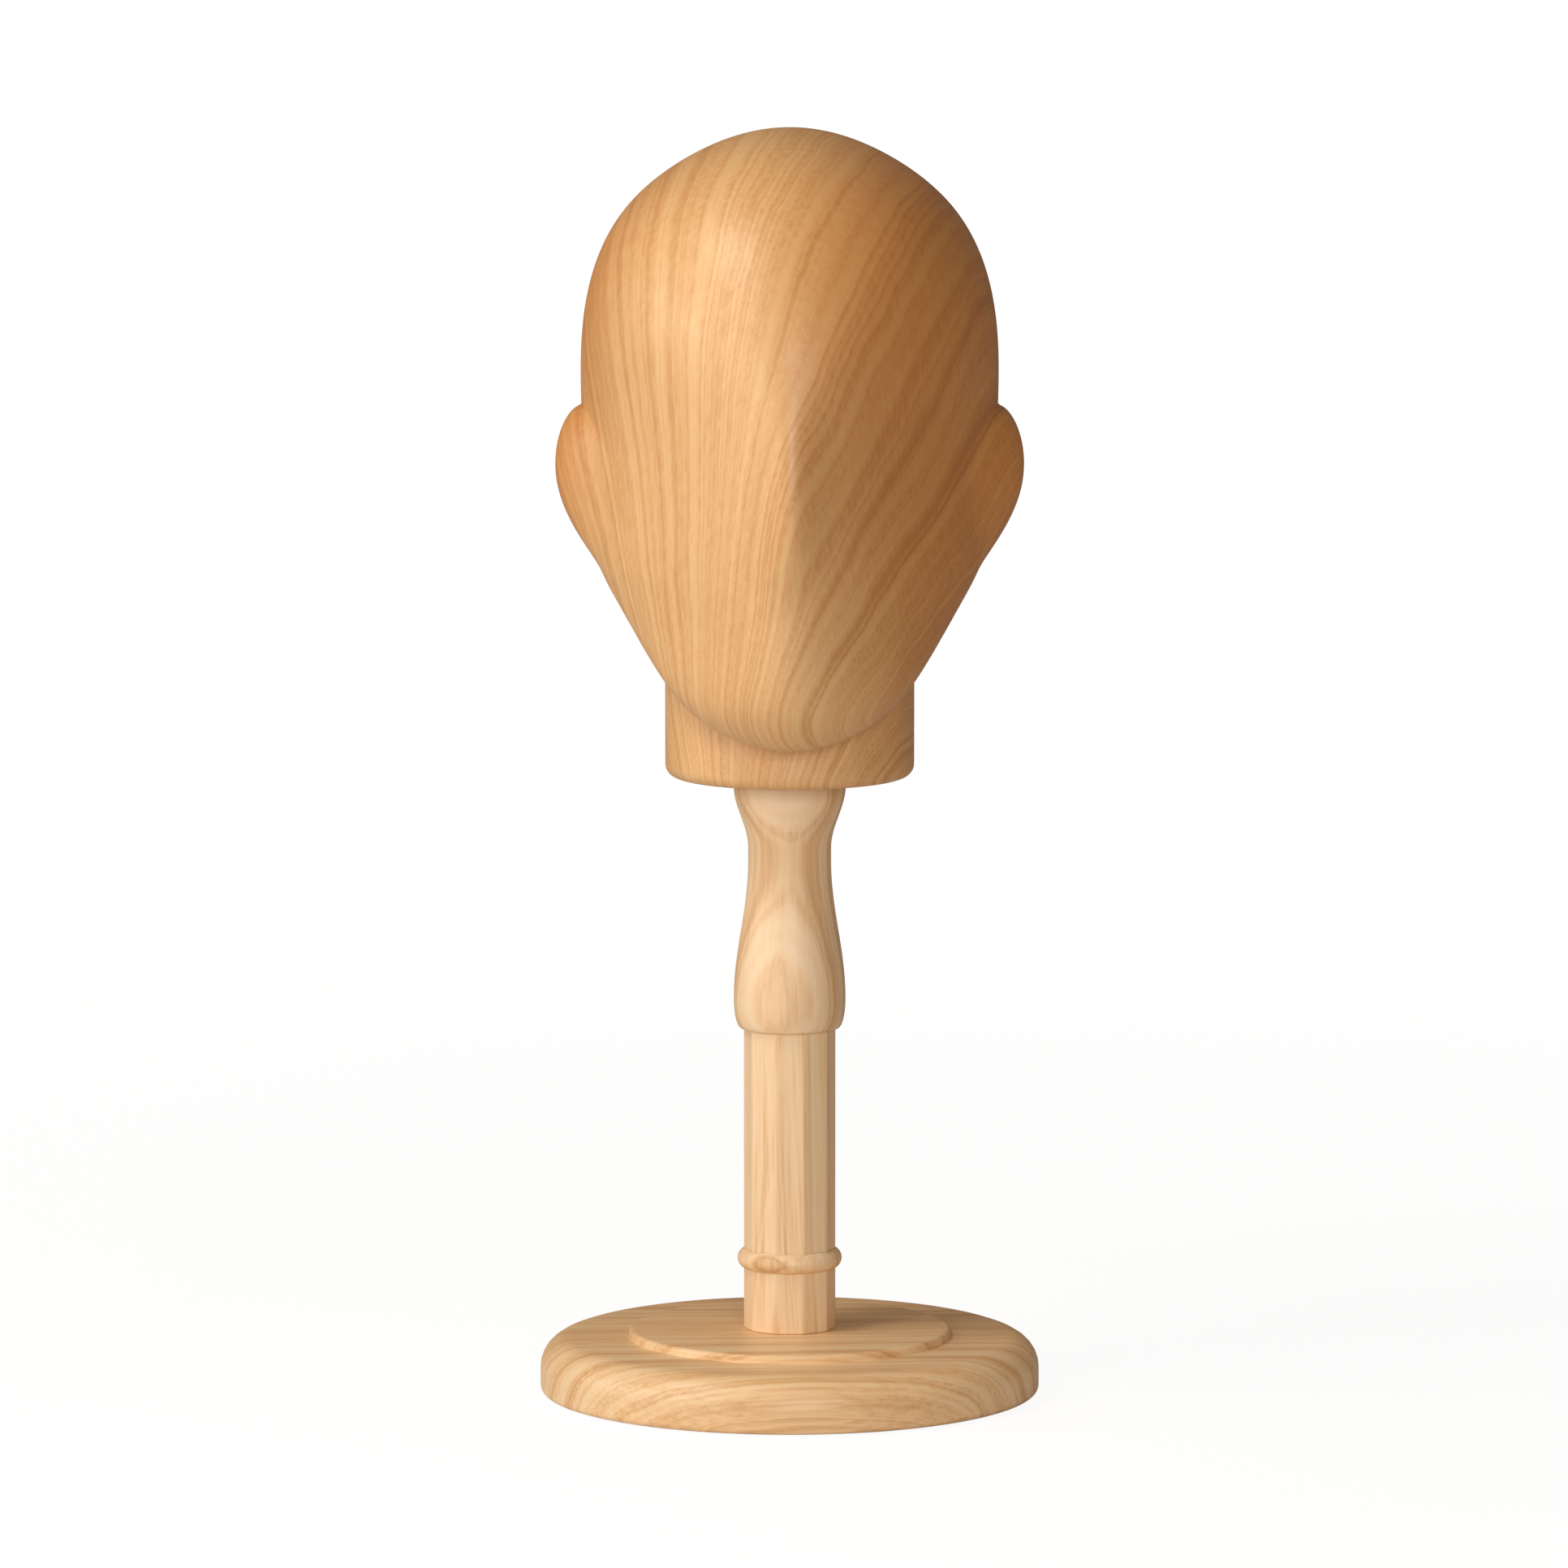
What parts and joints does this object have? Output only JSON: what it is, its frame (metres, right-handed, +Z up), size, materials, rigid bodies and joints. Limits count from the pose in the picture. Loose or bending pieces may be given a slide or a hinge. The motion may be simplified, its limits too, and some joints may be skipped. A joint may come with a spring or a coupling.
{
  "type": "mannequin head stand",
  "caption": "Faceless wooden mannequin head on a turned spindle, a ten-sided post and a round base, for showing hats, wigs or headphones.",
  "frame": {"origin": "centre of the stand's underside, at the felt's resting face", "axes": "+Z up along the post and peg, face towards -Y, ears towards +X and -X"},
  "size_m": [0.18, 0.1949, 0.4569],
  "materials": {
    "head_wood": "satin varnish over warm orange-brown wood with fine close grain",
    "base_wood": "satin varnish over golden brown wood with the grain across the board",
    "post_wood": "satin varnish over pale wood with straight upright grain",
    "spindle_wood": "satin varnish over pale turned wood with arched grain",
    "dowel_wood": "bare sanded dowel",
    "brass": "turned brass",
    "steel": "zinc-plated steel",
    "felt": "dark brown wool felt"
  },
  "bodies": {
    "stand": {"base_felt": "felt", "base": "base_wood", "base_insert_nut": "brass", "base_stud": "steel", "post": "post_wood", "post_bead": "post_wood", "spindle_stud": "steel", "spindle_insert_nut": "brass", "spindle": "spindle_wood", "head_peg": "dowel_wood"},
    "washer": {"head_washer": "brass"},
    "head": {"head": "head_wood", "neck_sleeve": "brass"}
  },
  "joints": [
    {"name": "head_turn", "type": "hinge", "parent": "stand", "child": "washer", "pos_m": [0, 0, 0.2244], "axis": [0, 0, 1], "continuous": true},
    {"name": "head_lift", "type": "slide", "parent": "washer", "child": "head", "axis": [0, 0, 1], "range_m": [0, 0.08]}
  ]
}
